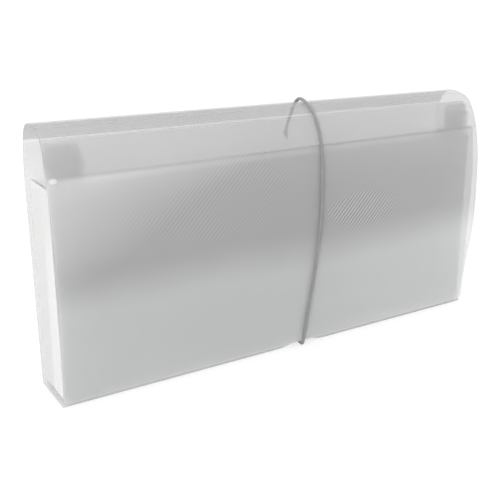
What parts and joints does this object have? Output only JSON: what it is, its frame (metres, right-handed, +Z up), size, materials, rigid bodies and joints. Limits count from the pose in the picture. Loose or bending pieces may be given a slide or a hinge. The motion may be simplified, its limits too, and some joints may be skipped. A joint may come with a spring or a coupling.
{
  "type": "expanding file folder",
  "caption": "Slim frosted clear expanding file with pleated pockets, a wrap-over flap on scored creases and a grey elastic closure.",
  "frame": {"origin": "middle of the base's underside, on the surface that the file stands on", "axes": "+X along the file's length to the right as seen from the front, the flap's front faces -Y, +Z up"},
  "size_m": [0.267, 0.0435, 0.1364],
  "materials": {
    "frosted_cover": "frosted clear polypropylene with a fine slanted emboss",
    "frosted_divider": "frosted clear polypropylene",
    "gusset_film": "milky pleated film",
    "grey_elastic": "braided round elastic",
    "crimped_metal": "crimped metal"
  },
  "bodies": {
    "back_cover": {"base_panel": "frosted_cover", "back_panel": "frosted_cover", "upper_cord_barb": "crimped_metal", "lower_cord_barb": "crimped_metal"},
    "flap_rear_strip": {"flap_top_rear": "frosted_cover"},
    "flap_front_strip": {"flap_top_front": "frosted_cover"},
    "flap": {"flap_front": "frosted_cover"},
    "elastic": {"elastic_cord": "grey_elastic"},
    "pocket_01": {"divider_01": "frosted_divider", "gusset_left_01": "gusset_film", "gusset_right_01": "gusset_film"},
    "pocket_02": {"divider_02": "frosted_divider", "gusset_left_02": "gusset_film", "gusset_right_02": "gusset_film"},
    "pocket_03": {"divider_03": "frosted_divider", "gusset_left_03": "gusset_film", "gusset_right_03": "gusset_film"},
    "pocket_04": {"divider_04": "frosted_divider", "gusset_left_04": "gusset_film", "gusset_right_04": "gusset_film"},
    "pocket_05": {"divider_05": "frosted_divider", "gusset_left_05": "gusset_film", "gusset_right_05": "gusset_film"},
    "pocket_06": {"divider_06": "frosted_divider", "gusset_left_06": "gusset_film", "gusset_right_06": "gusset_film"},
    "pocket_07": {"divider_07": "frosted_divider", "gusset_left_07": "gusset_film", "gusset_right_07": "gusset_film"},
    "pocket_08": {"divider_08": "frosted_divider", "gusset_left_08": "gusset_film", "gusset_right_08": "gusset_film"},
    "pocket_09": {"divider_09": "frosted_divider", "gusset_left_09": "gusset_film", "gusset_right_09": "gusset_film"},
    "pocket_10": {"divider_10": "frosted_divider", "gusset_left_10": "gusset_film", "gusset_right_10": "gusset_film"},
    "pocket_11": {"divider_11": "frosted_divider", "gusset_left_11": "gusset_film", "gusset_right_11": "gusset_film"},
    "pocket_12": {"divider_12": "frosted_divider", "gusset_left_12": "gusset_film", "gusset_right_12": "gusset_film"},
    "front_cover": {"front_panel": "frosted_cover", "gusset_left_13": "gusset_film", "gusset_right_13": "gusset_film"}
  },
  "joints": [
    {"name": "flap_open", "type": "hinge", "parent": "back_cover", "child": "flap_rear_strip", "pos_m": [0, 0.0179, 0.12549], "axis": [-1, 0, 0.0064], "range_deg": [0, 50]},
    {"name": "flap_top_crease", "type": "hinge", "parent": "flap_rear_strip", "child": "flap_front_strip", "pos_m": [0, 0.00129, 0.13349], "axis": [-0.9999, 0, 0.0108], "range_deg": [0, 120]},
    {"name": "flap_front_crease", "type": "hinge", "parent": "flap_front_strip", "child": "flap", "pos_m": [0, -0.00639, 0.13], "axis": [-1, 0, 0.0089], "range_deg": [0, 110]},
    {"name": "elastic_swing", "type": "hinge", "parent": "back_cover", "child": "elastic", "pos_m": [0.0165, 0.01701, 0.027], "axis": [0, -0.0505, -0.9987], "range_deg": [0, 90], "deforming": ["elastic_cord"]},
    {"name": "divider_01_tilt", "type": "hinge", "parent": "back_cover", "child": "pocket_01", "pos_m": [0, 0.01152, 0.0011], "axis": [1, 0, 0], "range_deg": [0, 2.75]},
    {"name": "divider_02_tilt", "type": "hinge", "parent": "back_cover", "child": "pocket_02", "pos_m": [0, 0.00932, 0.0011], "axis": [1, 0, 0], "range_deg": [0, 5.5]},
    {"name": "divider_03_tilt", "type": "hinge", "parent": "back_cover", "child": "pocket_03", "pos_m": [0, 0.00712, 0.0011], "axis": [1, 0, 0], "range_deg": [0, 8.25]},
    {"name": "divider_04_tilt", "type": "hinge", "parent": "back_cover", "child": "pocket_04", "pos_m": [0, 0.00492, 0.0011], "axis": [1, 0, 0], "range_deg": [0, 11]},
    {"name": "divider_05_tilt", "type": "hinge", "parent": "back_cover", "child": "pocket_05", "pos_m": [0, 0.00273, 0.0011], "axis": [1, 0, 0], "range_deg": [0, 13.75]},
    {"name": "divider_06_tilt", "type": "hinge", "parent": "back_cover", "child": "pocket_06", "pos_m": [0, 0.00053, 0.0011], "axis": [1, 0, 0], "range_deg": [0, 16.5]},
    {"name": "divider_07_tilt", "type": "hinge", "parent": "back_cover", "child": "pocket_07", "pos_m": [0, -0.00167, 0.0011], "axis": [1, 0, 0], "range_deg": [0, 19.25]},
    {"name": "divider_08_tilt", "type": "hinge", "parent": "back_cover", "child": "pocket_08", "pos_m": [0, -0.00387, 0.0011], "axis": [1, 0, 0], "range_deg": [0, 22]},
    {"name": "divider_09_tilt", "type": "hinge", "parent": "back_cover", "child": "pocket_09", "pos_m": [0, -0.00607, 0.0011], "axis": [1, 0, 0], "range_deg": [0, 24.75]},
    {"name": "divider_10_tilt", "type": "hinge", "parent": "back_cover", "child": "pocket_10", "pos_m": [0, -0.00826, 0.0011], "axis": [1, 0, 0], "range_deg": [0, 27.5]},
    {"name": "divider_11_tilt", "type": "hinge", "parent": "back_cover", "child": "pocket_11", "pos_m": [0, -0.01046, 0.0011], "axis": [1, 0, 0], "range_deg": [0, 30.25]},
    {"name": "divider_12_tilt", "type": "hinge", "parent": "back_cover", "child": "pocket_12", "pos_m": [0, -0.01266, 0.0011], "axis": [1, 0, 0], "range_deg": [0, 33]},
    {"name": "front_panel_tilt", "type": "hinge", "parent": "back_cover", "child": "front_cover", "pos_m": [0, -0.01521, 0.0011], "axis": [1, 0, 0], "range_deg": [0, 35.75]}
  ],
  "couplings": [
    {"joint": "flap_top_crease", "follows": "flap_open", "ratio": 2.4},
    {"joint": "flap_front_crease", "follows": "flap_open", "ratio": 2.2},
    {"joint": "elastic_swing", "follows": "flap_open", "ratio": 1.8},
    {"joint": "divider_01_tilt", "follows": "flap_open", "ratio": 0.055},
    {"joint": "divider_02_tilt", "follows": "flap_open", "ratio": 0.11},
    {"joint": "divider_03_tilt", "follows": "flap_open", "ratio": 0.165},
    {"joint": "divider_04_tilt", "follows": "flap_open", "ratio": 0.22},
    {"joint": "divider_05_tilt", "follows": "flap_open", "ratio": 0.275},
    {"joint": "divider_06_tilt", "follows": "flap_open", "ratio": 0.33},
    {"joint": "divider_07_tilt", "follows": "flap_open", "ratio": 0.385},
    {"joint": "divider_08_tilt", "follows": "flap_open", "ratio": 0.44},
    {"joint": "divider_09_tilt", "follows": "flap_open", "ratio": 0.495},
    {"joint": "divider_10_tilt", "follows": "flap_open", "ratio": 0.55},
    {"joint": "divider_11_tilt", "follows": "flap_open", "ratio": 0.605},
    {"joint": "divider_12_tilt", "follows": "flap_open", "ratio": 0.66},
    {"joint": "front_panel_tilt", "follows": "flap_open", "ratio": 0.715}
  ]
}
